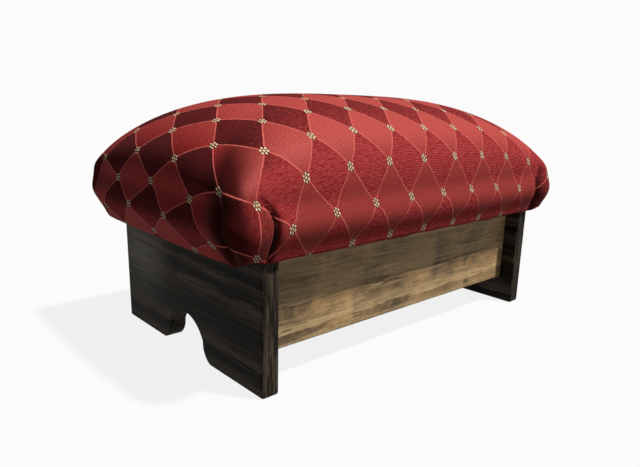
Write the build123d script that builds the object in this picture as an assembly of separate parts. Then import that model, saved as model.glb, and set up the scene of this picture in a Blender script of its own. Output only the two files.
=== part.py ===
from build123d import *
import os

# Upholstered footstool. Millimetres, +Z up, +X along the length, the front rail on the -Y side.
# The origin is on the floor, under the middle of the stool.

# Frame: two end boards, with two rails between them
frame_length = 435.5
frame_width = 275.7
frame_height = 133.0
board_thickness = 19.05
rail_thickness = 19.05
rail_setback = 19.7         # from an end board's edge to the rail's outer face
rail_clearance = 33.6       # from the floor to a rail's lower edge
board_easing = 3.0          # rounding of the end boards' outer edges
rail_easing = 2.0           # rounding of the rails' lower edges

# Scalloped notch in the foot of each end board
notch_height = 43.0         # top of the arch
cusp_height = 22.7          # where the arch meets the two rounded toes
cusp_half_width = 33.6
toe_half_width = 53.5       # where the toes meet the floor
toe_radius = 21.0
notch_easing = 1.5

# Corner blocks, flush with the top of the frame
block_width = 28.0
block_height = 40.0

# Dowels between rail ends and end boards
dowel_diameter = 8.0
dowel_length = 30.0
dowel_depth = 12.0          # how far a dowel goes into an end board
dowel_inset = 22.0          # from a rail's lower edge to the lower dowel's axis
dowel_gap = 3.0             # between the upper dowel and the screw below it
dowels_per_joint = 2

# Countersunk screws
screw_diameter = 4.0
screw_head_diameter = 8.0
screw_head_height = 2.6
screw_tip_length = 4.0
drive_diameter = 3.2        # recess in the head
drive_depth = 1.6
block_screw_bite = 14.0     # how far a level screw goes into its board or rail
deck_screw_bite = 8.8
screw_inset = 8.0           # from a block's side faces to a screw's axis
board_screw_drop = 12.0     # level screw into the end board, below the frame's top
rail_screw_rise = 9.0       # level screw into the rail, above the block's lower face

# Padded top
deck_overhang_end = 17.0    # deck past the end boards
deck_overhang_side = 2.0
deck_thickness = 12.0
deck_corner = 18.0
cover_thickness = 1.2
cover_turn_under = 62.0     # how far the cover reaches in under the deck
wadding_thickness = 5.0
layer_gap = 0.3             # between the soft layers
pad_bulge_end = 9.65        # widest level past the padded top's lower edge, at the ends
pad_bulge_side = 0.75
pad_widest = 49.0           # height of the widest level above the frame
crown_height = 89.6         # from the widest level up to the crown
pad_corner = 30.0           # corner radius at the widest level
crown_power = 2.375         # form of the crown: how fast its sides lean in
crown_roundness = 0.9       # corner radius at the top, as a share of the half width there
length_power = 3.13
width_power = 2.15
crown_levels = (0.2, 0.36, 0.5, 0.63, 0.75, 0.85, 0.93, 0.98, 0.995)

# Staples
staple_crown = 11.0
staple_leg = 8.0
staple_wire = 1.1
staple_flat = 0.6
staple_pitch = 40.0
staple_inset = 6.0          # from the frame's inside faces
block_margin = 8.0          # from a corner block to the nearest staple

rail_length = frame_length - 2 * board_thickness
rail_height = frame_height - rail_clearance
inner_half_x = rail_length / 2
rail_outer_y = frame_width / 2 - rail_setback
rail_inner_y = rail_outer_y - rail_thickness
rail_middle_y = rail_outer_y - rail_thickness / 2
cover_level = frame_height              # underside of the turned-under cover
deck_level = cover_level + cover_thickness
block_screw_length = block_width + block_screw_bite
deck_screw_length = block_height + cover_thickness + deck_screw_bite
deck_screw_inset = block_width - screw_inset
rail_screw_level = frame_height - block_height + rail_screw_rise
upper_dowel_level = rail_screw_level + (screw_diameter + dowel_diameter) / 2 + dowel_gap
deck_length = frame_length + 2 * deck_overhang_end
deck_width = frame_width + 2 * deck_overhang_side
pad_wrap = cover_thickness + wadding_thickness + 2 * layer_gap     # soft layers past the deck's edge
pad_length = deck_length + 2 * (pad_wrap + pad_bulge_end)
pad_width = deck_width + 2 * (pad_wrap + pad_bulge_side)
widest_level = frame_height + pad_widest
corners = [(sx, sy) for sx in (-1, 1) for sy in (-1, 1)]


def screw(length):
    """A countersunk screw, head at the origin, pointing along -Z."""
    shank_end = length - screw_tip_length
    outline = Polyline(
        (0, 0),
        (screw_head_diameter / 2, 0),
        (screw_diameter / 2, -screw_head_height),
        (screw_diameter / 2, -shank_end),
        (0, -length),
        close=True,
    )
    return revolve(Plane.XZ * make_face(outline), Axis.Z)


def with_drive(screw_solid):
    """The screw with a square recess in its head."""
    recess = Box(
        drive_diameter, drive_diameter, drive_depth, align=(Align.CENTER, Align.CENTER, Align.MAX)
    )
    return screw_solid - recess


def board_screw_place(sx, sy):
    """Level screw through a corner block into the end board."""
    x = sx * (inner_half_x - block_width)
    y = sy * (rail_inner_y - screw_inset)
    z = frame_height - board_screw_drop
    return Plane(origin=(x, y, z), x_dir=(0, 1, 0), z_dir=(-sx, 0, 0)).location


def rail_screw_place(sx, sy):
    """Level screw through a corner block into the rail."""
    x = sx * (inner_half_x - screw_inset)
    y = sy * (rail_inner_y - block_width)
    origin = (x, y, rail_screw_level)
    return Plane(origin=origin, x_dir=(1, 0, 0), z_dir=(0, -sy, 0)).location


def deck_screw_place(sx, sy):
    """Upright screw through a corner block into the deck."""
    x = sx * (inner_half_x - deck_screw_inset)
    y = sy * (rail_inner_y - deck_screw_inset)
    return Plane(origin=(x, y, frame_height - block_height), z_dir=(0, 0, -1)).location


def dowel_places():
    """Centres of the dowels, each lying along X."""
    first = rail_clearance + dowel_inset
    step = (upper_dowel_level - first) / (dowels_per_joint - 1)
    x = inner_half_x + dowel_depth - dowel_length / 2
    return [
        Location((sx * x, sy * rail_middle_y, first + i * step), (0, 90, 0))
        for sx, sy in corners
        for i in range(dowels_per_joint)
    ]


def rail_dowels():
    return [place * Cylinder(dowel_diameter / 2, dowel_length) for place in dowel_places()]


def notch_outline(grow):
    """The scalloped opening at the foot of an end board, widened by grow, in Y and Z."""
    half_toe, half_cusp = toe_half_width + grow, cusp_half_width + grow
    left_toe, right_toe = (-half_toe, 0), (half_toe, 0)
    left_cusp, right_cusp = (-half_cusp, cusp_height), (half_cusp, cusp_height)
    arch = ThreePointArc(left_cusp, (0, notch_height + grow), right_cusp)
    rise = RadiusArc(left_toe, left_cusp, -toe_radius)
    fall = RadiusArc(right_cusp, right_toe, -toe_radius)
    return make_face([rise, arch, fall, Line(right_toe, left_toe)])


def notch():
    """What is cut from an end board's foot, with its edges eased at both faces."""
    cut = extrude(Plane.YZ * notch_outline(0), board_thickness, both=True)
    for face in (-1, 1):
        inside, outside = face * (board_thickness / 2 - notch_easing), face * board_thickness / 2
        levels = [Plane.YZ.offset(inside) * notch_outline(0)]
        levels.append(Plane.YZ.offset(outside) * notch_outline(notch_easing))
        cut += loft(levels, ruled=True)
    return cut


def end_board(side):
    """End board with its scalloped notch; side is -1 or 1 along X."""
    board = Box(
        board_thickness, frame_width, frame_height, align=(Align.CENTER, Align.CENTER, Align.MIN)
    )
    upright = board.edges().filter_by(Axis.Z)
    foot = board.edges().filter_by(Axis.Z, reverse=True).group_by(Axis.Z)[0]
    board = fillet([*upright, *foot], board_easing)
    board -= notch()
    board = Pos(side * (frame_length - board_thickness) / 2, 0, 0) * board
    screws = [board_screw_place(side, sy) * screw(block_screw_length) for sy in (-1, 1)]
    return board - screws - rail_dowels()


def rail(side):
    """Long rail; side is -1 for the front and 1 for the back."""
    plank = Box(rail_length, rail_thickness, rail_height)
    plank = fillet(plank.edges().filter_by(Axis.X).group_by(Axis.Z)[0], rail_easing)
    plank = Pos(0, side * rail_middle_y, rail_clearance + rail_height / 2) * plank
    screws = [rail_screw_place(sx, side) * screw(block_screw_length) for sx in (-1, 1)]
    return plank - screws - rail_dowels()


def corner_block(sx, sy):
    """Square block in one inside corner of the frame, with its three screw holes."""
    block = Box(block_width, block_width, block_height)
    x = sx * (inner_half_x - block_width / 2)
    y = sy * (rail_inner_y - block_width / 2)
    block = Pos(x, y, frame_height - block_height / 2) * block
    return block - [
        board_screw_place(sx, sy) * screw(block_screw_length),
        rail_screw_place(sx, sy) * screw(block_screw_length),
        deck_screw_place(sx, sy) * screw(deck_screw_length),
    ]


def block_screws():
    one = with_drive(screw(block_screw_length))
    places = [place(sx, sy) for place in (board_screw_place, rail_screw_place) for sx, sy in corners]
    return [place * one for place in places]


def deck_screws():
    one = with_drive(screw(deck_screw_length))
    return [deck_screw_place(sx, sy) * one for sx, sy in corners]


def spaced(half_span):
    """Evenly spaced places, a staple pitch apart, centred on zero."""
    count = int(2 * half_span / staple_pitch) + 1
    return [(i - (count - 1) / 2) * staple_pitch for i in range(count)]


def staple():
    """A staple with its crown under z = 0 and its legs upwards, crown along X."""
    low = (Align.CENTER, Align.CENTER, Align.MAX)
    high = (Align.CENTER, Align.CENTER, Align.MIN)
    leg = Box(staple_wire, staple_flat, staple_leg, align=high)
    reach = (staple_crown - staple_wire) / 2
    crown = Box(staple_crown, staple_flat, staple_flat, align=low)
    return crown + Pos(-reach, 0, 0) * leg + Pos(reach, 0, 0) * leg


def cover_staples():
    """Staples round the cover's turned-under edge, just inside the frame."""
    side_y = rail_inner_y - staple_inset
    end_x = inner_half_x - staple_inset
    along_sides = spaced(inner_half_x - block_width - block_margin)
    along_ends = spaced(rail_inner_y - block_width - block_margin)
    places = [Location((x, sy * side_y, cover_level)) for sy in (-1, 1) for x in along_sides]
    places += [
        Location((sx * end_x, y, cover_level), (0, 0, 90)) for sx in (-1, 1) for y in along_ends
    ]
    return [place * staple() for place in places]


def deck_outline(margin):
    """The deck's rounded rectangle, grown by a margin."""
    length, width = deck_length + 2 * margin, deck_width + 2 * margin
    return RectangleRounded(length, width, deck_corner + margin)


def deck():
    board = Pos(0, 0, deck_level) * extrude(deck_outline(0), deck_thickness)
    holes = [deck_screw_place(sx, sy) * screw(deck_screw_length) for sx, sy in corners]
    return board - holes - cover_staples()


def pad_form(depth, base):
    """The crowned body of the padded top, a depth in from its outer face, above a base level."""
    half_x, half_y = pad_length / 2 - depth, pad_width / 2 - depth
    crown = crown_height - depth
    corner = pad_corner - depth
    sections = [
        Pos(0, 0, cover_level) * deck_outline(pad_wrap - depth),
        Pos(0, 0, widest_level) * RectangleRounded(2 * half_x, 2 * half_y, corner),
    ]
    for level in crown_levels:
        share = 1 - level**crown_power
        x = half_x * share ** (1 / length_power)
        y = half_y * share ** (1 / width_power)
        radius = corner + (crown_roundness * y - corner) * level
        height = widest_level + crown * level / crown_levels[-1]
        sections.append(Pos(0, 0, height) * RectangleRounded(2 * x, 2 * y, radius))
    form = loft(sections, ruled=True)
    below = Box(
        2 * pad_length, 2 * pad_width, frame_height, align=(Align.CENTER, Align.CENTER, Align.MAX)
    )
    return form - Pos(0, 0, base) * below


def fabric_cover():
    """The cover: a thin shell, turned in under the deck, with a window inside the frame."""
    shell = pad_form(0, cover_level) - pad_form(cover_thickness, deck_level)
    window_margin = pad_wrap - cover_turn_under
    window = Rectangle(deck_length + 2 * window_margin, deck_width + 2 * window_margin)
    shell -= Pos(0, 0, cover_level) * extrude(window, cover_thickness)
    holes = [deck_screw_place(sx, sy) * screw(deck_screw_length) for sx, sy in corners]
    return shell - holes - cover_staples()


def wadding():
    outer = cover_thickness + layer_gap
    return pad_form(outer, deck_level) - pad_form(outer + wadding_thickness, deck_level)


def foam_pad():
    depth = cover_thickness + wadding_thickness + 2 * layer_gap
    return pad_form(depth, deck_level + deck_thickness)


def write(name, solids):
    """One STEP file for each named piece or group of like pieces."""
    export_step(Compound(solids), f"parts/{name}.step")
    print(name, len(solids))


os.makedirs("parts", exist_ok=True)
write("end_board_left", end_board(-1).solids())
write("end_board_right", end_board(1).solids())
write("rail_front", rail(-1).solids())
write("rail_back", rail(1).solids())
for sx, end in ((-1, "left"), (1, "right")):
    for sy, side in ((-1, "front"), (1, "back")):
        write(f"corner_block_{side}_{end}", corner_block(sx, sy).solids())
write("rail_dowels", rail_dowels())
write("block_screws", block_screws())
write("deck_board", deck().solids())
write("deck_screws", deck_screws())
write("foam_pad", foam_pad().solids())
write("wadding", wadding().solids())
write("fabric_cover", fabric_cover().solids())
write("cover_staples", cover_staples())
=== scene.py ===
import math

import bmesh
import bpy
import numpy as np
from mathutils import Matrix, Vector, noise


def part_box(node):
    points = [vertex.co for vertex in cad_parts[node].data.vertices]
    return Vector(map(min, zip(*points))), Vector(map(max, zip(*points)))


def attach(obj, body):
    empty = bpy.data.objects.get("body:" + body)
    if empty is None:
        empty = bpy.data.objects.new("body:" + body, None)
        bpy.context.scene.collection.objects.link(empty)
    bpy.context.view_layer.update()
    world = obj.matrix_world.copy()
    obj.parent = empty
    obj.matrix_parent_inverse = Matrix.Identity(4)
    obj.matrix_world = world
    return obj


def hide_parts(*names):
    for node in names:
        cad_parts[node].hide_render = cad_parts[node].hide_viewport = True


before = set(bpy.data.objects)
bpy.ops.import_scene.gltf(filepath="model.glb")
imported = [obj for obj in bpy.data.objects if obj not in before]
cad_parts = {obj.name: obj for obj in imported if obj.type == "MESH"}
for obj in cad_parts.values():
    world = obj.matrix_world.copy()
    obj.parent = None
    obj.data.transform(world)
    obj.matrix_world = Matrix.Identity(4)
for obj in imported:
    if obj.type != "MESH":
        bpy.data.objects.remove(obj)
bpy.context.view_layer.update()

scene = bpy.context.scene

# ---------------------------------------------------------------------------
# Camera: low, off the stool's front left corner, with a fairly wide lens
# ---------------------------------------------------------------------------
camera_data = bpy.data.cameras.new("camera")
camera_data.lens = 32.53
camera_data.shift_x = -0.0378
camera_data.shift_y = 0.0171
camera = bpy.data.objects.new("camera", camera_data)
scene.collection.objects.link(camera)
camera_place = (-0.4938, -0.5241, 0.2654)
camera_turn = math.radians(-43.88)
camera_tilt = math.radians(14.07)
camera_roll = math.radians(1.93)
camera.matrix_world = (
    Matrix.Translation(camera_place)
    @ Matrix.Rotation(camera_turn, 4, "Z")
    @ Matrix.Rotation(math.pi / 2 - camera_tilt, 4, "X")
    @ Matrix.Rotation(camera_roll, 4, "Z")
)
scene.camera = camera

# ---------------------------------------------------------------------------
# Studio: a pale floor and backdrop, one high sun from the front right and a dim
# even room, brighter from low down than from overhead
# ---------------------------------------------------------------------------
scene.view_settings.view_transform = "Standard"
scene.view_settings.look = "None"

world = bpy.data.worlds.new("room")
scene.world = world
world.use_nodes = True
room_tree = world.node_tree
room_way = room_tree.nodes.new("ShaderNodeTexCoord")
room_split = room_tree.nodes.new("ShaderNodeSeparateXYZ")
room_tree.links.new(room_way.outputs["Generated"], room_split.inputs[0])
room_rise = room_tree.nodes.new("ShaderNodeMapRange")
room_rise.interpolation_type = "SMOOTHSTEP"
room_low, room_high = 0.24, 0.13
for name, value in (
    ("From Min", -0.35), ("From Max", 0.25), ("To Min", room_low), ("To Max", room_high)
):
    room_rise.inputs[name].default_value = value
room_tree.links.new(room_split.outputs["Z"], room_rise.inputs["Value"])
room_tree.links.new(
    room_rise.outputs["Result"], room_tree.nodes["Background"].inputs["Strength"]
)
room_tree.nodes["Background"].inputs["Color"].default_value = (1.0, 0.99, 0.97, 1)

key_data = bpy.data.lights.new("key", "SUN")
key_data.energy = 4.3
key_data.angle = math.radians(4)
key_data.color = (1.0, 0.97, 0.92)
key = bpy.data.objects.new("key", key_data)
scene.collection.objects.link(key)
key_from = Vector((0.26, -0.38, 0.89))
key.rotation_euler = key_from.to_track_quat("Z", "Y").to_euler()


def new_material(name):
    """A material, its node tree and its shader."""
    material = bpy.data.materials.new(name)
    material.use_nodes = True
    return material, material.node_tree, material.node_tree.nodes["Principled BSDF"]


def stage_piece(name, bm, colour, glow):
    """A floor or backdrop, pale to look at, that throws no light of its own on the stool."""
    mesh = bpy.data.meshes.new(name)
    bm.to_mesh(mesh)
    bm.free()
    piece = bpy.data.objects.new(name, mesh)
    scene.collection.objects.link(piece)
    paint, _, paint_shader = new_material(name + "_paint")
    paint_shader.inputs["Base Color"].default_value = (colour, colour, colour, 1)
    paint_shader.inputs["Roughness"].default_value = 0.95
    paint_shader.inputs["Specular IOR Level"].default_value = 0.1
    paint_shader.inputs["Emission Color"].default_value = (1, 1, 1, 1)
    paint_shader.inputs["Emission Strength"].default_value = glow
    mesh.materials.append(paint)
    piece.visible_diffuse = False
    piece.visible_glossy = False
    return piece


stage_reach = 6
floor_gap = 0.0002
floor_bm = bmesh.new()
bmesh.ops.create_grid(floor_bm, x_segments=1, y_segments=1, size=stage_reach)
bmesh.ops.translate(floor_bm, verts=floor_bm.verts, vec=(0, 0, -floor_gap))
stage_piece("floor", floor_bm, 0.08, 0.86)

backdrop_bm = bmesh.new()
bmesh.ops.create_icosphere(backdrop_bm, subdivisions=4, radius=stage_reach)
backdrop = stage_piece("backdrop", backdrop_bm, 0.0, 0.96)
backdrop.visible_shadow = False

# ---------------------------------------------------------------------------
# End boards: flat-sawn pine, three quarters of an inch thick, scalloped at the
# foot, its grain running from front to back; stained near-black walnut
# ---------------------------------------------------------------------------


def new_node(tree, kind, inputs=None, **settings):
    """A node with its settings and inputs; an input is a value or another node's output."""
    node = tree.nodes.new(kind)
    for name, value in settings.items():
        setattr(node, name, value)
    for name, value in (inputs or {}).items():
        if isinstance(value, bpy.types.NodeSocket):
            tree.links.new(value, node.inputs[name])
        else:
            node.inputs[name].default_value = value
    return node


def calc(tree, operation, first, second=0.0, third=0.0):
    """The output of a math node."""
    values = {0: first, 1: second, 2: third}
    if operation in ("FRACT", "ABSOLUTE", "FLOOR", "ROUND", "SQRT", "SINE"):
        values = {0: first}
    return new_node(tree, "ShaderNodeMath", values, operation=operation).outputs[0]


def fade(tree, value, low, high, to_low=0.0, to_high=1.0):
    """A smooth step from low to high."""
    inputs = {
        "Value": value, "From Min": low, "From Max": high, "To Min": to_low, "To Max": to_high
    }
    step = new_node(tree, "ShaderNodeMapRange", inputs, interpolation_type="SMOOTHSTEP")
    return step.outputs["Result"]


def blend(tree, share, first, second):
    """A mix of two colours, by share."""
    node = new_node(tree, "ShaderNodeMix", data_type="RGBA")
    for socket, value in ((0, share), (6, first), (7, second)):
        if isinstance(value, bpy.types.NodeSocket):
            tree.links.new(value, node.inputs[socket])
        elif socket:
            node.inputs[socket].default_value = (*value, 1)
        else:
            node.inputs[socket].default_value = value
    return node.outputs[2]


def wood_finish(
    name, along, heart, ring_scale, dark, mid, light, gloss, blotch, streak=0.5, end_dark=0.75,
    shine=0.3, painted_sheen_at=None,
):
    """Stained or bare wood: growth rings about an axis, pores along the grain, blotches.

    The rings turn about the heart, along the axis named. The last argument is the middle of a
    painted sheen, a grey patch that stands in for a reflection, if there is one.
    """
    material, tree, shader = new_material(name)
    place = new_node(tree, "ShaderNodeTexCoord").outputs["Object"]
    stretch = [1.0, 1.0, 1.0]
    stretch["XYZ".index(along)] = 0.045
    grain_place = new_node(
        tree, "ShaderNodeMapping", {"Vector": place, "Location": heart, "Scale": stretch}
    ).outputs[0]
    rings = new_node(
        tree, "ShaderNodeTexWave",
        {"Vector": grain_place, "Scale": ring_scale, "Distortion": 3.2, "Detail": 3.0,
         "Detail Scale": 9.0, "Detail Roughness": 0.6},
        wave_type="RINGS", rings_direction=along, wave_profile="SAW",
    ).outputs["Fac"]
    pores = new_node(
        tree, "ShaderNodeTexNoise",
        {"Vector": grain_place, "Scale": 900.0, "Detail": 3.0, "Roughness": 0.7},
    ).outputs["Fac"]
    streaks = new_node(
        tree, "ShaderNodeTexNoise",
        {"Vector": grain_place, "Scale": 190.0, "Detail": 5.0, "Roughness": 0.7},
    ).outputs["Fac"]
    patches = new_node(
        tree, "ShaderNodeTexNoise",
        {"Vector": place, "Scale": 16.0, "Detail": 6.0, "Roughness": 0.68, "Distortion": 0.8},
    ).outputs["Fac"]
    ring_share = fade(tree, rings, 0.35, 0.98)
    streak_share = fade(tree, streaks, 0.5, 0.78)
    lit = calc(tree, "MULTIPLY_ADD", streak_share, streak, calc(tree, "MULTIPLY", ring_share, 0.45))
    stain = blend(tree, fade(tree, patches, 0.5 - blotch, 0.5 + blotch), dark, mid)
    colour = blend(tree, calc(tree, "MINIMUM", lit, 1.0), stain, light)
    pore_share = fade(tree, pores, 0.5, 0.7, 0.0, 0.55)
    colour = blend(tree, pore_share, colour, [0.45 * c for c in dark])

    # Painted sheen: a grey patch about 90 mm in radius, broken by the streaks, in place of a
    # reflection on the finish
    if painted_sheen_at:
        per_reach = 11.0
        painted_sheen_place = new_node(
            tree, "ShaderNodeMapping",
            {"Vector": place, "Location": [-per_reach * w for w in painted_sheen_at],
             "Scale": [per_reach] * 3},
        ).outputs[0]
        reach = new_node(
            tree, "ShaderNodeVectorMath", {0: painted_sheen_place}, operation="LENGTH"
        ).outputs["Value"]
        painted_sheen_share = calc(
            tree, "MULTIPLY",
            fade(tree, reach, 0.1, 0.95, 0.85, 0.0), fade(tree, streaks, 0.25, 0.6),
        )
        colour = blend(tree, painted_sheen_share, colour, (0.30, 0.28, 0.23))

    # Cut ends take up more stain, and show fine upright saw lines
    facing = new_node(tree, "ShaderNodeTexCoord").outputs["Normal"]
    end_facing = new_node(tree, "ShaderNodeSeparateXYZ", {"Vector": facing}).outputs[along]
    end_share = fade(tree, calc(tree, "ABSOLUTE", end_facing), 0.55, 0.85, 0.0, 0.9)
    saw_place = new_node(
        tree, "ShaderNodeMapping", {"Vector": place, "Scale": (1.0, 1.0, 0.06)}
    ).outputs[0]
    saw_lines = new_node(
        tree, "ShaderNodeTexNoise",
        {"Vector": saw_place, "Scale": 520.0, "Detail": 4.0, "Roughness": 0.7},
    ).outputs["Fac"]
    end_light = [end_dark * (0.6 * c + 0.4 * d) for c, d in zip(mid, light)]
    end_colour = blend(
        tree, fade(tree, saw_lines, 0.4, 0.72), [end_dark * c for c in dark], end_light
    )
    colour = blend(tree, end_share, colour, end_colour)
    tree.links.new(colour, shader.inputs["Base Color"])
    tree.links.new(
        fade(tree, streaks, 0.3, 0.7, gloss - 0.07, gloss + 0.1), shader.inputs["Roughness"]
    )
    relief = calc(tree, "MULTIPLY_ADD", pores, -0.5, calc(tree, "MULTIPLY", streaks, 0.8))
    bump = new_node(
        tree, "ShaderNodeBump", {"Height": relief, "Strength": 0.35, "Distance": 0.0004}
    )
    tree.links.new(bump.outputs[0], shader.inputs["Normal"])
    shader.inputs["Specular IOR Level"].default_value = shine
    return material


def finish_node(name, material):
    """Gives a carried-over piece of the frame its finish."""
    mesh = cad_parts[name].data
    mesh.materials.clear()
    mesh.materials.append(material)


# Painted sheen on the left end board, high towards the back, in place of a reflection
left_painted_sheen = (-0.2, 0.098, 0.098)
for end, heart_x, sheen_spot in (("left", 0.33, left_painted_sheen), ("right", -0.35, None)):
    board_finish = wood_finish(
        f"walnut_stain_{end}", "Y", (heart_x, 0.02, -0.055), 46.0,
        (0.008, 0.0068, 0.0058), (0.016, 0.0125, 0.0095), (0.185, 0.138, 0.095), 0.42, 0.16, 0.72,
        end_dark=1.5, shine=0.12, painted_sheen_at=sheen_spot,
    )
    finish_node(f"end_board_{end}", board_finish)

# ---------------------------------------------------------------------------
# Rails: two long pine boards set in from the end boards' edges, the same stain
# wiped thinner, so that it is blotched and the warm wood shows through
# ---------------------------------------------------------------------------
for side, heart_y in (("front", 0.24), ("back", -0.21)):
    rail_finish = wood_finish(
        f"wiped_stain_{side}", "X", (0.0, heart_y, -0.10), 38.0,
        (0.095, 0.066, 0.044), (0.56, 0.355, 0.165), (0.95, 0.68, 0.36), 0.46, 0.19, 0.62,
    )
    finish_node(f"rail_{side}", rail_finish)

# ---------------------------------------------------------------------------
# Corner blocks and dowels: bare softwood offcuts screwed inside the frame, and
# turned pins from the rails into the end boards
# ---------------------------------------------------------------------------
bare_wood = wood_finish(
    "bare_softwood", "Z", (0.05, 0.03, 0.0), 60.0,
    (0.42, 0.27, 0.14), (0.55, 0.38, 0.21), (0.66, 0.49, 0.29), 0.62, 0.25,
)
for side in ("front", "back"):
    for end in ("left", "right"):
        finish_node(f"corner_block_{side}_{end}", bare_wood)
finish_node("rail_dowels", bare_wood)

# ---------------------------------------------------------------------------
# Deck: a plywood board that carries the padding, screwed to the corner blocks
# from below; only its underside can be seen
# ---------------------------------------------------------------------------
ply_face = wood_finish(
    "plywood", "X", (0.0, 0.6, -0.3), 22.0,
    (0.40, 0.27, 0.15), (0.52, 0.37, 0.22), (0.62, 0.47, 0.30), 0.6, 0.3, 0.35,
)
finish_node("deck_board", ply_face)

# ---------------------------------------------------------------------------
# Screws and staples: zinc-plated steel, dulled by handling; the screws run from
# the corner blocks, the staples hold the cover under the deck
# ---------------------------------------------------------------------------
zinc, zinc_tree, zinc_shader = new_material("zinc_plate")
zinc_shader.inputs["Metallic"].default_value = 1.0
zinc_place = new_node(zinc_tree, "ShaderNodeTexCoord").outputs["Object"]
zinc_mottle = new_node(
    zinc_tree, "ShaderNodeTexNoise", {"Vector": zinc_place, "Scale": 450.0, "Detail": 3.0}
).outputs["Fac"]
zinc_tree.links.new(
    blend(
        zinc_tree, fade(zinc_tree, zinc_mottle, 0.35, 0.65), (0.46, 0.44, 0.40), (0.68, 0.66, 0.61)
    ),
    zinc_shader.inputs["Base Color"],
)
zinc_tree.links.new(
    fade(zinc_tree, zinc_mottle, 0.3, 0.7, 0.28, 0.46), zinc_shader.inputs["Roughness"]
)
for fixing in ("block_screws", "deck_screws", "cover_staples"):
    finish_node(fixing, zinc)

# ---------------------------------------------------------------------------
# Padded top, its form: foam and wadding pulled down tight under the cover, a
# crown that falls to all four sides and swells out before it turns under
# ---------------------------------------------------------------------------
pad_low, pad_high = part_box("fabric_cover")
frame_top = pad_low.z
widest_rise, crown_gap = 0.049, 0.0006
widest = frame_top + widest_rise
crown_rise = pad_high.z - crown_gap - widest
end_power, side_power, crown_lean, corner_ease = 3.13, 2.15, 0.421, 0.013
reach_x = pad_high.x / (1 - corner_ease) ** (1 / end_power)
reach_y = pad_high.y / (1 - corner_ease) ** (1 / side_power)


def fullness(x, y):
    """1 over the middle of the plan, falling to corner_ease at the outline."""
    ends = 1 - np.abs(x / reach_x) ** end_power
    sides = 1 - np.abs(y / reach_y) ** side_power
    return ends * sides


def crown(x, y):
    """Height of the cover over a point of the plan."""
    share = (fullness(x, y) - corner_ease) / (1 - corner_ease)
    return widest + crown_rise * np.clip(share, 0, 1) ** crown_lean


def outline(a, b):
    """Where the widest level lies, in the direction of the point (a, b) on a square's edge."""
    low, high = np.full(a.shape, 0.5), np.full(a.shape, 1.0)
    for _ in range(30):
        middle = (low + high) / 2
        inside = fullness(middle * reach_x * a, middle * reach_y * b) > corner_ease
        low, high = np.where(inside, middle, low), np.where(inside, high, middle)
    return low * reach_x * a, low * reach_y * b


def cloth_length(x, y, along_x):
    """Length of cloth over the crown, from the middle line to a point, along X or along Y."""
    steps = 32
    total = np.zeros(x.shape)
    last_x, last_y = (0 * x, y) if along_x else (x, 0 * y)
    last_z = crown(last_x, last_y)
    for k in range(1, steps + 1):
        part = math.sin(math.pi / 2 * k / steps)
        next_x, next_y = (x * part, y) if along_x else (x, y * part)
        next_z = crown(next_x, next_y)
        total += np.sqrt((next_x - last_x) ** 2 + (next_y - last_y) ** 2 + (next_z - last_z) ** 2)
        last_x, last_y, last_z = next_x, next_y, next_z
    return np.sign(x if along_x else y) * total


def smooth(value, low, high):
    """0 below low, 1 above high, and a smooth step between."""
    t = np.clip((value - low) / (high - low), 0, 1)
    return t * t * (3 - 2 * t)


def spread(t):
    """Grid lines closer together towards the edges."""
    packing = 0.85 * math.pi / 2
    return np.sin(t * packing) / math.sin(packing)


# The outline as a line of its own: points, outward normals and distances from the corners
walk_side = 1200
walk = np.linspace(-1, 1, walk_side + 1)[:-1]
level_side = np.ones(walk_side)
walk_x, walk_y = outline(
    np.concatenate([walk, level_side, -walk, -level_side]),
    np.concatenate([-level_side, walk, level_side, -walk]),
)
walk_steps = np.hypot(np.roll(walk_x, -1) - walk_x, np.roll(walk_y, -1) - walk_y)
walk_length = walk_steps.sum()
walk_at = np.concatenate([[0], np.cumsum(walk_steps)])[:-1]
walk_span = 8
walk_nx = np.roll(walk_y, -walk_span) - np.roll(walk_y, walk_span)
walk_ny = np.roll(walk_x, walk_span) - np.roll(walk_x, -walk_span)
walk_size = np.hypot(walk_nx, walk_ny)
walk_nx, walk_ny = walk_nx / walk_size, walk_ny / walk_size
walk_u = cloth_length(walk_x, walk_y, True)
walk_v = cloth_length(walk_x, walk_y, False)


def along_outline(values, at):
    """A value of the outline at some distance round it."""
    return np.interp(at, walk_at, values, period=walk_length)


# The four corners, where the outline faces half way between an end and a side
corner_at = {}
for corner, sx, sy in (("fl", -1, -1), ("fr", 1, -1), ("br", 1, 1), ("bl", -1, 1)):
    facing = sx * walk_nx + sy * walk_ny
    corner_at[corner] = walk_at[int(np.argmax(facing))]
half_walk = walk_length / 2

# How the cloth is drawn down: its slant on the end walls, how far it has slid over the left
# end, over the front and on the front wall; the wall's depth, the cover's thickness and its
# lowest level
end_slant, end_slide, front_slide, side_slide = 0.18, 0.0075, 0.006, 0.005
wall_drop = 0.0545
cloth_gauge = 0.0011
flange_level = frame_top + 0.00005

# Each corner: its place, its directions in X and Y, which way its long side runs, how
# deep its creases are, and how far the tongue between them bulges
back_left = corner_at["bl"] - 0.005
corner_list = [
    (corner_at["fl"], -1, -1, 1, 1.0, 0.0065), (corner_at["br"], 1, 1, 1, 0.9, 0.0072),
    (corner_at["fr"], 1, -1, -1, 0.5, 0.0076), (back_left, -1, 1, -1, 0.45, 0.0078),
]


def from_corner(at, corner):
    """Distance round the outline from a corner, positive on its long side."""
    return corner[3] * ((at - corner[0] + half_walk) % walk_length - half_walk)


def crease_places(share):
    """Where the two creases of a corner pleat run, at a share of the wall's drop."""
    end_crease = -0.018 + 0.015 * np.clip(share, 0, 1) ** 1.3
    side_crease = np.interp(share, [0, 0.15, 0.3, 0.8, 1], [0.022, 0.030, 0.033, 0.031, 0.028])
    return end_crease, side_crease


puff_height = 0.0012


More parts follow.
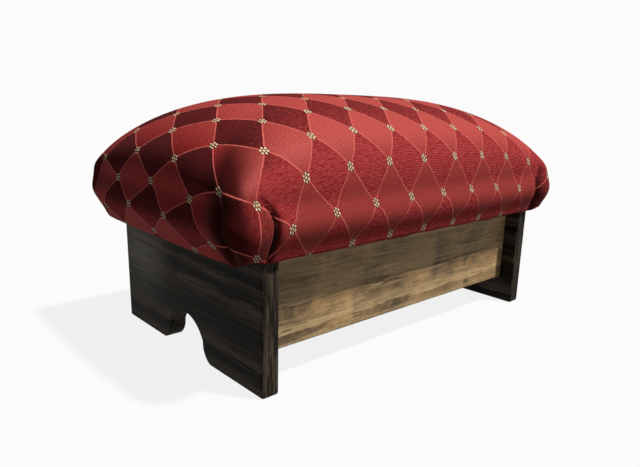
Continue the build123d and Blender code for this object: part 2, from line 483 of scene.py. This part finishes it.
def pleat_push(at, drop):
    """How far in (or out, below 0) the corner pleats push the cloth."""
    push = np.zeros(at.shape)
    end_crease, side_crease = crease_places(drop / wall_drop)
    for corner in corner_list:
        local = from_corner(at, corner)
        strength = corner[4] * smooth(drop, -0.010, 0.012)

        # A groove along each crease with a puff beside it, and a bulging tongue between
        for crease, depth, width, puff_at, puff_width in (
            (end_crease, 0.0056, 0.0018, -0.010, 0.007), (side_crease, 0.0062, 0.0017, 0.010, 0.008)
        ):
            push += depth * strength * np.exp(-np.abs(local - crease) / width)
            puff = np.exp(-(((local - crease - puff_at) / puff_width) ** 2))
            push -= puff_height * strength * puff
        across = np.clip((local - end_crease) / (side_crease - end_crease), 0, 1)
        push -= corner[5] * smooth(drop, -0.026, 0.010) * np.sin(math.pi * across)
    return push


def crease_side(at, drop):
    """Distance along the outline from the nearest crease, above 0 on a corner's tongue."""
    side = np.full(at.shape, -0.05)
    end_crease, side_crease = crease_places(drop / wall_drop)
    for corner in corner_list:
        local = from_corner(at, corner)
        side = np.maximum(side, np.minimum(local - end_crease, side_crease - local))
    return side


tongue_rise = 0.0045


def tongue_lift(at):
    """How much higher the cover turns under between a corner's two creases."""
    lift = np.zeros(at.shape)
    end_crease, side_crease = crease_places(1.0)
    for corner in corner_list:
        across = (from_corner(at, corner) - end_crease) / (side_crease - end_crease)
        lift += tongue_rise * np.sin(math.pi * np.clip(across, 0, 1)) ** 2
    return lift


def skew(x, y):
    """Share of the cloth's slide along the long front side, as it was stapled."""
    held = smooth(x, -0.235, -0.195) * (1 - 0.5 * smooth(x, 0.0, 0.2))
    return held * smooth(-y, 0.095, 0.145)


def end_skew(x, y):
    """Share of its slide from front to back over the left end, none at the front corner."""
    return smooth(-x, 0.205, 0.249) * np.clip((y + 0.14) / 0.04, 0, 1)


# The walls: how far they draw in at the bottom, swell out half way down and tuck under,
# each for the ends and for the sides, and how unevenly their hem hangs
draw_in = (0.0125, 0.0062)
swell_out = (0.0062, 0.0052)
swell_depth = 0.050
tuck_in = (0.004, 0.0008)
end_extra_drop, side_less_drop = 0.0022, 0.0008
hem_sag, hem_waves = 0.014, 60

# The cloth: the way its length runs on a tongue, the length over which its slide on the
# front wall grows, the window left in its turned-under part, and the plan of the frame's
# top with a little room, which its low rows keep outside at the front and back
tongue_way = (0.576, 0.818)
slide_growth = 0.02
window_half = (0.1795, 0.08465)
frame_clear = (0.2195, 0.1393)


def by_side(pair, normal_x, normal_y):
    """A size that is one value at the ends and another at the sides."""
    return np.hypot(pair[0] * normal_x, pair[1] * normal_y)


def crowned_skin(columns, rows, levels, pleated):
    """The crown as a grid, its walls drawn down row by row; returns the mesh and its rim."""
    # The crown, and the cloth's lengths over it
    bm = bmesh.new()
    push_layer = bm.verts.layers.float.new("push")
    side_layer = bm.verts.layers.float.new("crease_side")
    bmesh.ops.create_grid(bm, x_segments=columns, y_segments=rows, size=1.0)
    bm.verts.ensure_lookup_table()
    a = np.array([v.co.x for v in bm.verts])
    b = np.array([v.co.y for v in bm.verts])
    ring = np.maximum(np.abs(a), np.abs(b))
    safe = np.where(ring < 1e-6, 1.0, ring)
    to_ends = np.abs(a) >= np.abs(b)
    dir_a = np.where(to_ends, np.sign(a), spread(a / safe))
    dir_b = np.where(to_ends, spread(b / safe), np.sign(b))
    edge_x, edge_y = outline(dir_a, dir_b)
    pull = np.sin(ring * math.pi / 2)
    x, y = pull * edge_x, pull * edge_y
    z = crown(x, y)
    turn = np.where(
        to_ends,
        np.where(dir_a > 0, 1 + (dir_b + 1) / 2, 3 + (1 - dir_b) / 2),
        np.where(dir_b < 0, (dir_a + 1) / 2, 2 + (1 - dir_a) / 2),
    )
    at = np.interp(
        turn * walk_side, np.arange(4 * walk_side + 1), np.append(walk_at, walk_length)
    )
    u = cloth_length(x, y, True) - front_slide * skew(x, y)
    v = cloth_length(x, y, False) - end_slide * end_skew(x, y)
    cloth = {}
    push = np.zeros(at.shape)
    side = crease_side(at, widest - z)
    if pleated:
        push = np.where(ring > 0.6, pleat_push(at, widest - z), 0)
        x = x - push * along_outline(walk_nx, at)
        y = y - push * along_outline(walk_ny, at)
    for k, vert in enumerate(bm.verts):
        vert.co = (x[k], y[k], z[k])
        vert[push_layer] = push[k]
        vert[side_layer] = side[k]
        cloth[vert] = (u[k], v[k])

    # The walls, the tuck and the flange
    rim = sorted((k for k in range(len(at)) if ring[k] > 0.9999), key=lambda k: at[k])
    at, dir_a, dir_b = at[rim], dir_a[rim], dir_b[rim]
    base_x, base_y = edge_x[rim], edge_y[rim]
    normal_x, normal_y = along_outline(walk_nx, at), along_outline(walk_ny, at)
    inset_all = by_side(draw_in, normal_x, normal_y)
    swell_all = by_side(swell_out, normal_x, normal_y)
    tuck_all = by_side(tuck_in, normal_x, normal_y)
    full_drop = wall_drop + end_extra_drop * normal_x**2 - side_less_drop - tongue_lift(at)
    sag = np.array([
        noise.noise((math.cos(w), math.sin(w), 3.1)) for w in at / walk_length * hem_waves
    ])
    last = [bm.verts[k] for k in rim]
    last_spot = (base_x, base_y, np.full(at.shape, widest))
    run = np.zeros(at.shape)
    slid = skew(base_x, base_y)
    outline_u = along_outline(walk_u, at) - front_slide * slid
    outline_v = along_outline(walk_v, at) - end_slide * end_skew(base_x, base_y)
    places = {vert: (column, 0) for column, vert in enumerate(last)}
    runs, drops = [run], [np.zeros(at.shape)]
    edges = [edge for edge in bm.edges if edge.is_boundary]
    wall_faces = []
    for kind, share in levels:
        fold_share = 1.0
        if kind == "wall":
            inset = inset_all * (1 - math.cos(share * math.pi / 2))
            drop = full_drop * math.sin(share * math.pi / 2) * (1 + hem_sag * sag * share)
            inset = inset - swell_all * np.sin(math.pi * np.clip(drop / swell_depth, 0, 1)) ** 2
        elif kind == "tuck":
            inset = inset_all + tuck_all * math.sin(share * math.pi / 2)
            bottom = full_drop * (1 + hem_sag * sag)
            rise = 1 - math.cos(share * math.pi / 2)
            drop = bottom + rise * (widest - flange_level - bottom)
            fold_share = 1 - 0.6 * share
        else:
            fold_share = 0.4 * max(0, 1 - 3 * share)
            inset = inset_all + tuck_all
            drop = np.full(at.shape, widest - flange_level)
        plain_x, plain_y = base_x - inset * normal_x, base_y - inset * normal_y
        if kind == "flange":
            plain_x = plain_x + share * (window_half[0] * dir_a - plain_x)
            plain_y = plain_y + share * (window_half[1] * dir_b - plain_y)
        plain_z = widest - drop
        spot = (plain_x, plain_y, plain_z)
        run = run + np.sqrt(sum((new - old) ** 2 for new, old in zip(spot, last_spot)))
        last_spot = spot
        push = pleat_push(at, drop) * fold_share if pleated else np.zeros(at.shape)
        side = crease_side(at, drop)
        row_x, row_y = plain_x - push * normal_x, plain_y - push * normal_y
        low = plain_z < frame_top + 0.001
        beside = low & (np.abs(row_x) < frame_clear[0]) & (kind != "flange")
        row_y = np.where(beside, np.sign(row_y) * np.maximum(np.abs(row_y), frame_clear[1]), row_y)
        drawn = bmesh.ops.extrude_edge_only(bm, edges=edges)["geom"]
        old_places = {vert.co.to_tuple(7): column for column, vert in enumerate(last)}
        current = [None] * len(last)
        for vert in drawn:
            if isinstance(vert, bmesh.types.BMVert):
                column = old_places[vert.co.to_tuple(7)]
                current[column] = vert
                places[vert] = (column, len(runs))
        for column, vert in enumerate(current):
            vert.co = (row_x[column], row_y[column], plain_z[column])
            vert[push_layer] = push[column]
            vert[side_layer] = side[column]
        edges = [
            edge for edge in drawn if isinstance(edge, bmesh.types.BMEdge) and edge.is_boundary
        ]
        wall_faces += [face for face in drawn if isinstance(face, bmesh.types.BMFace)]
        runs.append(run)
        drops.append(drop)
        last = current

    # The cloth's lengths carried on down the walls
    bmesh.ops.recalc_face_normals(bm, faces=bm.faces)
    if sum(face.normal.z * face.calc_area() for face in bm.faces) < 0:
        bmesh.ops.reverse_faces(bm, faces=bm.faces)
    layer = bm.loops.layers.uv.new("cloth")
    walls = set(wall_faces)
    for face in bm.faces:
        if face not in walls:
            for loop in face.loops:
                loop[layer].uv = cloth[loop.vert]
            continue
        spots = [places[loop.vert] for loop in face.loops]
        columns_here = sorted({column for column, _ in spots})
        middle = at[columns_here].mean()
        if columns_here[-1] - columns_here[0] > 1:
            middle = (at[columns_here[-1]] + walk_length + at[columns_here[0]]) / 2 % walk_length
        level = np.mean([drops[row][column] for column, row in spots]) / wall_drop
        corner = min(corner_list, key=lambda c: abs(from_corner(middle, c)))
        local = from_corner(middle, corner)
        end_crease, side_crease = crease_places(level)
        slide = 0.0
        if local < end_crease:
            way = (corner[1], -end_slant)
        elif local > side_crease:
            way = (0.0, corner[2])
            slide = -side_slide
        else:
            way = (tongue_way[0] * corner[1], tongue_way[1] * corner[2])
        for loop, (column, row) in zip(face.loops, spots):
            length = runs[row][column]
            slip = slide * slid[column] * min(length / slide_growth, 1.0)
            loop[layer].uv = (
                outline_u[column] + way[0] * length + slip, outline_v[column] + way[1] * length
            )
    return bm, last


def smooth_piece(name, bm):
    """A smooth-shaded object of a mesh."""
    for face in bm.faces:
        face.smooth = True
    mesh = bpy.data.meshes.new(name)
    bm.to_mesh(mesh)
    bm.free()
    piece = bpy.data.objects.new(name, mesh)
    scene.collection.objects.link(piece)
    return piece


# ---------------------------------------------------------------------------
# Foam: a crowned block of grey upholstery foam, cut to shape and set on the deck
# under the wadding, which hides it
# ---------------------------------------------------------------------------
foam_levels = [("wall", share) for share in (0.12, 0.24, 0.36, 0.454)]
foam_bm, foam_rim = crowned_skin(64, 40, foam_levels, False)
foam_bm.normal_update()
foam_depth = 0.0068
for vert, normal in [(v, v.normal.copy()) for v in foam_bm.verts]:
    vert.co -= normal * foam_depth
deck_top, deck_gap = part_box("deck_board")[1].z, 0.0001
for vert in foam_rim:
    vert.co.z = deck_top + deck_gap
bmesh.ops.contextual_create(foam_bm, geom=[e for e in foam_bm.edges if e.is_boundary])
bmesh.ops.recalc_face_normals(foam_bm, faces=foam_bm.faces)
foam_piece = smooth_piece("foam_block", foam_bm)

foam_finish, foam_tree, foam_shader = new_material("grey_foam")
foam_place = new_node(foam_tree, "ShaderNodeTexCoord").outputs["Object"]
foam_cells = new_node(
    foam_tree, "ShaderNodeTexVoronoi", {"Vector": foam_place, "Scale": 900.0}
).outputs["Distance"]
foam_tree.links.new(
    blend(
        foam_tree, fade(foam_tree, foam_cells, 0.1, 0.6), (0.30, 0.30, 0.29), (0.46, 0.46, 0.44)
    ),
    foam_shader.inputs["Base Color"],
)
foam_shader.inputs["Roughness"].default_value = 0.95
foam_bump = new_node(
    foam_tree, "ShaderNodeBump", {"Height": foam_cells, "Strength": 0.6, "Distance": 0.0005}
)
foam_tree.links.new(foam_bump.outputs[0], foam_shader.inputs["Normal"])
foam_piece.data.materials.append(foam_finish)
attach(foam_piece, "root")
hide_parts("foam_pad")

# ---------------------------------------------------------------------------
# Wadding: a layer of polyester fleece over the foam and down past the deck's
# edges, squeezed thin where the cover is pulled tight round them
# ---------------------------------------------------------------------------
wadding_levels = [("wall", k / 26) for k in range(1, 17)] + [("wall", 0.655)]
skin_columns, skin_rows = 176, 108
wadding_bm = crowned_skin(skin_columns, skin_rows, wadding_levels, True)[0]
wadding_bm.normal_update()
wadding_depth = cloth_gauge + 0.0003
wadding_loose, edge_squeeze, least_loft, crease_room = 0.0050, 0.56, 0.06, 0.0052
squeeze = wadding_bm.verts.layers.deform.new()
push_in = wadding_bm.verts.layers.float["push"]
for vert, normal in [(v, v.normal.copy()) for v in wadding_bm.verts]:
    pinched = float(smooth(np.array(widest - vert.co.z), 0.010, 0.034)) * abs(normal.y)
    room = 1 - max(vert[push_in], 0) / crease_room
    vert[squeeze][0] = max(min(1 - edge_squeeze * pinched, room), least_loft)
    vert.co -= normal * wadding_depth
wadding_piece = smooth_piece("fleece_wadding", wadding_bm)
wadding_piece.vertex_groups.new(name="loft")
wadding_loft = wadding_piece.modifiers.new("loft", "SOLIDIFY")
wadding_loft.thickness = wadding_loose
wadding_loft.offset = -1
wadding_loft.vertex_group = "loft"

fleece, fleece_tree, fleece_shader = new_material("white_fleece")
fleece_place = new_node(fleece_tree, "ShaderNodeTexCoord").outputs["Object"]
fleece_fibres = new_node(
    fleece_tree, "ShaderNodeTexNoise",
    {"Vector": fleece_place, "Scale": 260.0, "Detail": 6.0, "Distortion": 2.5},
).outputs["Fac"]
fleece_tree.links.new(
    blend(fleece_tree, fleece_fibres, (0.66, 0.66, 0.64), (0.88, 0.88, 0.86)),
    fleece_shader.inputs["Base Color"],
)
fleece_shader.inputs["Roughness"].default_value = 0.95
fleece_bump = new_node(
    fleece_tree, "ShaderNodeBump", {"Height": fleece_fibres, "Strength": 0.6, "Distance": 0.0015}
)
fleece_tree.links.new(fleece_bump.outputs[0], fleece_shader.inputs["Normal"])
wadding_piece.data.materials.append(fleece)
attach(wadding_piece, "root")
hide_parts("wadding")

# ---------------------------------------------------------------------------
# Cover: one rectangle of jacquard drawn over the padding, pleated twice at each
# corner, turned under the deck and stapled to it
# ---------------------------------------------------------------------------
cover_levels = [("wall", k / 26) for k in range(1, 27)]
cover_levels += [("tuck", k / 5) for k in range(1, 6)]
cover_levels += [("flange", share) for share in (0.06, 0.15, 0.3, 0.6, 1.0)]
cover_bm = crowned_skin(skin_columns, skin_rows, cover_levels, True)[0]
cover_piece = smooth_piece("jacquard_cover", cover_bm)
cover_cloth = cover_piece.modifiers.new("cloth", "SOLIDIFY")
cover_cloth.thickness = cloth_gauge
cover_cloth.offset = -1

jacquard, tree, shader = new_material("diamond_jacquard")
cloth_place = new_node(tree, "ShaderNodeUVMap", uv_map="cloth").outputs[0]
split = new_node(tree, "ShaderNodeSeparateXYZ", {"Vector": cloth_place})
cloth_u, cloth_v = split.outputs["X"], split.outputs["Y"]

# The lattice: two families of slanting lines, a diamond's length and width apart
diamond_length, diamond_width = 0.0534745, 0.0759721
lattice_u, lattice_v = -0.155874, -0.241187
across_u = calc(tree, "MULTIPLY_ADD", cloth_u, 1 / diamond_length, -lattice_u / diamond_length)
across_v = calc(tree, "MULTIPLY_ADD", cloth_v, 1 / diamond_width, -lattice_v / diamond_width)
lean_p = calc(tree, "SUBTRACT", calc(tree, "ADD", across_u, across_v), 0.5)
lean_q = calc(tree, "SUBTRACT", calc(tree, "SUBTRACT", across_u, across_v), 0.5)
whole_p, whole_q = calc(tree, "ROUND", lean_p), calc(tree, "ROUND", lean_q)
rest_p = calc(tree, "SUBTRACT", lean_p, whole_p)
rest_q = calc(tree, "SUBTRACT", lean_q, whole_q)
line_pitch = 1 / math.hypot(1 / diamond_length, 1 / diamond_width)
to_line = calc(
    tree, "MULTIPLY",
    calc(tree, "MINIMUM", calc(tree, "ABSOLUTE", rest_p), calc(tree, "ABSOLUTE", rest_q)),
    line_pitch,
)
cord_core, cord_edge = 0.00044, 0.00092
cord_share = fade(tree, to_line, cord_core, cord_edge, 1.0, 0.0)
cell_sum = calc(
    tree, "SUBTRACT", calc(tree, "FLOOR", lean_p), calc(tree, "FLOOR", lean_q)
)
cell_half = calc(tree, "FRACT", calc(tree, "MULTIPLY", cell_sum, 0.5))
dark_cell = calc(tree, "LESS_THAN", cell_half, 0.25)

# Rosettes on the crossings: seven oblong seeds of gold thread, two, three and two
seed_u = calc(tree, "MULTIPLY", calc(tree, "ADD", rest_p, rest_q), diamond_length / 2)
seed_v = calc(tree, "MULTIPLY", calc(tree, "SUBTRACT", rest_p, rest_q), diamond_width / 2)
seed_step, seed_column = 0.0036, 0.0026
seed_half_u, seed_half_v = 0.00105, 0.0017
steps_v = calc(tree, "MULTIPLY", seed_v, 1 / seed_step)
middle_row = calc(
    tree, "MAXIMUM", calc(tree, "MINIMUM", calc(tree, "ROUND", steps_v), 1.0), -1.0
)
side_row = calc(
    tree, "ADD",
    calc(tree, "MAXIMUM", calc(tree, "MINIMUM", calc(tree, "FLOOR", steps_v), 0.0), -1.0), 0.5,
)
side_u = calc(tree, "SUBTRACT", calc(tree, "ABSOLUTE", seed_u), seed_column)


def seed_reach(from_u, row):
    """Distance from a seed's middle, 1 at its edge."""
    part_u = calc(tree, "MULTIPLY", from_u, 1 / seed_half_u)
    part_v = calc(
        tree, "MULTIPLY", calc(tree, "SUBTRACT", steps_v, row), seed_step / seed_half_v
    )
    squares = calc(
        tree, "ADD", calc(tree, "MULTIPLY", part_u, part_u), calc(tree, "MULTIPLY", part_v, part_v)
    )
    return calc(tree, "SQRT", squares)


seed_near = calc(
    tree, "MINIMUM", seed_reach(seed_u, middle_row), seed_reach(side_u, side_row)
)
seed_share = fade(tree, seed_near, 0.78, 1.02, 1.0, 0.0)
rosette_half_u, rosette_half_v = 0.0042, 0.0058
rosette_reach = calc(
    tree, "SQRT",
    calc(
        tree, "ADD",
        calc(tree, "POWER", calc(tree, "MULTIPLY", seed_u, 1 / rosette_half_u), 2.0),
        calc(tree, "POWER", calc(tree, "MULTIPLY", seed_v, 1 / rosette_half_v), 2.0),
    ),
)
rosette_share = fade(tree, rosette_reach, 0.86, 1.0, 1.0, 0.0)

# Weave: satin with a fine grain in the light diamonds and ribbed velvet in the dark ones.
# Both take painted light and shade from the way the surface faces, mixed with a random mottle
fine_place = new_node(
    tree, "ShaderNodeMapping", {"Vector": cloth_place, "Scale": (1.0, 1.6, 1.0)}
).outputs[0]
grain = new_node(
    tree, "ShaderNodeTexNoise",
    {"Vector": fine_place, "Scale": 480.0, "Detail": 4.0, "Roughness": 0.8},
).outputs["Fac"]
mottle = new_node(
    tree, "ShaderNodeTexNoise",
    {"Vector": cloth_place, "Scale": 260.0, "Detail": 4.0, "Roughness": 0.75},
).outputs["Fac"]
rib_wobble = new_node(
    tree, "ShaderNodeTexNoise", {"Vector": cloth_place, "Scale": 130.0, "Detail": 2.0}
).outputs["Fac"]
rib_pitch, rib_sway = 0.0018, 3.6
rib_phase = calc(
    tree, "MULTIPLY_ADD", cloth_v, 2 * math.pi / rib_pitch,
    calc(tree, "MULTIPLY", rib_wobble, rib_sway),
)
rib_wave = calc(tree, "MULTIPLY_ADD", calc(tree, "SINE", rib_phase), 0.5, 0.5)
dash_place = new_node(
    tree, "ShaderNodeMapping", {"Vector": cloth_place, "Scale": (170.0, 900.0, 1.0)}
).outputs[0]
dashes = new_node(
    tree, "ShaderNodeTexNoise", {"Vector": dash_place, "Scale": 1.0, "Detail": 2.0}
).outputs["Fac"]
rib_share = calc(
    tree, "MULTIPLY", fade(tree, rib_wave, 0.45, 0.95), fade(tree, dashes, 0.32, 0.62)
)
facing = new_node(tree, "ShaderNodeTexCoord").outputs["Normal"]
mottled = calc(tree, "SUBTRACT", mottle, 0.5)
# Painted light and shade: the velvet and its ribs are lighter or darker by the way the surface
# faces, mixed with a random mottle
velvet_light_facing = new_node(
    tree, "ShaderNodeVectorMath", {0: facing, 1: (0.45, -0.20, -0.42)}, operation="DOT_PRODUCT"
).outputs["Value"]
velvet_mottle_and_painted_light = fade(tree, calc(tree, "MULTIPLY_ADD", mottled, 0.95, velvet_light_facing), -0.60, 0.0)
velvet = blend(tree, velvet_mottle_and_painted_light, (0.075, 0.0058, 0.0062), (0.27, 0.019, 0.022))
rib_colour = blend(tree, velvet_mottle_and_painted_light, (0.11, 0.009, 0.010), (0.54, 0.088, 0.084))
velvet = blend(tree, rib_share, velvet, rib_colour)
# Painted light and shade: the satin is lighter or darker by the way the surface faces, mixed with a
# random mottle
satin_light_facing = new_node(
    tree, "ShaderNodeVectorMath", {0: facing, 1: (0.70, -0.30, 0.20)}, operation="DOT_PRODUCT"
).outputs["Value"]
satin_mottle_and_painted_light = fade(tree, calc(tree, "MULTIPLY_ADD", mottled, 0.62, satin_light_facing), -0.60, 0.42)
satin = blend(tree, satin_mottle_and_painted_light, (0.27, 0.014, 0.013), (0.50, 0.080, 0.069))
facing_parts = new_node(tree, "ShaderNodeSeparateXYZ", {"Vector": facing}).outputs
to_front = calc(tree, "MULTIPLY", facing_parts["Y"], -1.0)
to_left = calc(tree, "MULTIPLY", facing_parts["X"], -1.0)
# Painted shade: satin facing the front is darkened
front_painted_shade = fade(tree, to_front, 0.65, 1.0, 0.0, 0.55)
satin = blend(tree, front_painted_shade, satin, (0.25, 0.029, 0.026))
# Painted light: satin facing left and down is lightened, as by light from low at the left
low_left_painted_light = new_node(
    tree, "ShaderNodeVectorMath", {0: facing, 1: (-0.90, 0.0, -0.42)}, operation="DOT_PRODUCT"
).outputs["Value"]
satin = blend(tree, fade(tree, low_left_painted_light, 0.68, 1.0, 0.0, 0.8), satin, (0.58, 0.044, 0.038))
satin = blend(tree, fade(tree, grain, 0.40, 0.66, 0.0, 0.72), satin, (0.19, 0.014, 0.014))
satin = blend(tree, fade(tree, mottle, 0.56, 0.74, 0.0, 0.30), satin, (0.58, 0.13, 0.11))
cloth_colour = blend(tree, dark_cell, satin, velvet)

# Painted shade: beside a crease, cloth facing left is darkened, most towards the front, and the
# tongue between the creases is darkened low down
side = new_node(tree, "ShaderNodeAttribute", attribute_name="crease_side").outputs["Fac"]
tuck = new_node(tree, "ShaderNodeAttribute", attribute_name="push").outputs["Fac"]
where = new_node(
    tree, "ShaderNodeSeparateXYZ",
    {"Vector": new_node(tree, "ShaderNodeTexCoord").outputs["Object"]},
).outputs
# Painted shade beside the creases on cloth that faces left, most towards the front
crease_painted_shade = calc(
    tree, "MULTIPLY",
    fade(tree, side, -0.034, -0.001, 0.0, 0.9),
    fade(tree, to_left, 0.08, 0.62),
)
crease_painted_shade = calc(tree, "MULTIPLY", crease_painted_shade, fade(tree, where["Y"], 0.0, 0.08, 1.0, 0.3))
cloth_colour = blend(tree, crease_painted_shade, cloth_colour, (0.020, 0.0015, 0.0017))
# Painted shade on the tongue between a corner's creases, below its top, broken by the mottle
tongue_painted_shade = calc(
    tree, "MULTIPLY",
    fade(tree, side, 0.0, 0.004, 0.0, 0.75), fade(tree, mottle, 0.35, 0.62, 1.0, 0.5),
)
tongue_painted_shade = calc(tree, "MULTIPLY", tongue_painted_shade, fade(tree, where["Z"], 0.172, 0.198, 1.0, 0.0))
cloth_colour = blend(tree, tongue_painted_shade, cloth_colour, (0.075, 0.006, 0.006))
cord_colour = blend(tree, fade(tree, grain, 0.3, 0.7), (0.50, 0.075, 0.065), (0.74, 0.17, 0.14))
cloth_colour = blend(tree, cord_share, cloth_colour, cord_colour)
cloth_colour = blend(
    tree, calc(tree, "MULTIPLY", rosette_share, 0.8), cloth_colour, (0.06, 0.012, 0.010)
)
gold_core = fade(tree, seed_near, 0.0, 0.8, 1.0, 0.0)
gold = blend(tree, gold_core, (0.62, 0.47, 0.26), (1.0, 0.92, 0.72))
cloth_colour = blend(tree, seed_share, cloth_colour, gold)

# Painted shade: each crease's groove is darkened to a thin black line between shaded banks
cloth_colour = blend(
    tree, fade(tree, tuck, 0.0010, 0.0036, 0.0, 0.93), cloth_colour, (0.006, 0.0008, 0.0010)
)
# Painted shade along the middle of each crease
crease_painted_line = calc(
    tree, "MULTIPLY",
    fade(tree, calc(tree, "ABSOLUTE", side), 0.0005, 0.0017, 0.97, 0.0),
    fade(tree, tuck, 0.0006, 0.0040),
)
cloth_colour = blend(tree, crease_painted_line, cloth_colour, (0.003, 0.0005, 0.0005))
tree.links.new(cloth_colour, shader.inputs["Base Color"])
tree.links.new(
    blend(tree, dark_cell, (0.52, 0.52, 0.52), (0.85, 0.85, 0.85)), shader.inputs["Roughness"]
)
shader.inputs["Specular IOR Level"].default_value = 0.07
shader.inputs["Sheen Weight"].default_value = 0.04
shader.inputs["Sheen Roughness"].default_value = 0.5
shader.inputs["Sheen Tint"].default_value = (0.85, 0.25, 0.28, 1)

# Relief in metres: cords and seeds stand proud, ribs are raised, the satin is fine
rib_relief, pile_relief, grain_relief = 0.00022, 0.00035, 0.00022
cord_relief, seed_relief = 0.00035, 0.0007
velvet_height = calc(
    tree, "MULTIPLY_ADD", rib_wave, rib_relief, calc(tree, "MULTIPLY", mottle, pile_relief)
)
satin_height = calc(tree, "MULTIPLY", grain, grain_relief)
height = new_node(
    tree, "ShaderNodeMix", {0: dark_cell, 2: satin_height, 3: velvet_height}, data_type="FLOAT"
).outputs[0]
cord_round = calc(tree, "MULTIPLY", cord_share, cord_relief)
height = calc(tree, "ADD", height, cord_round)
seed_round = calc(
    tree, "MULTIPLY", fade(tree, seed_near, 0.1, 1.05, 1.0, 0.0), seed_relief
)
height = calc(tree, "MAXIMUM", height, seed_round)
cloth_bump = new_node(
    tree, "ShaderNodeBump", {"Height": height, "Strength": 1.0, "Distance": 1.0}
)
tree.links.new(cloth_bump.outputs[0], shader.inputs["Normal"])
cover_piece.data.materials.append(jacquard)
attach(cover_piece, "root")
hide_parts("fabric_cover")
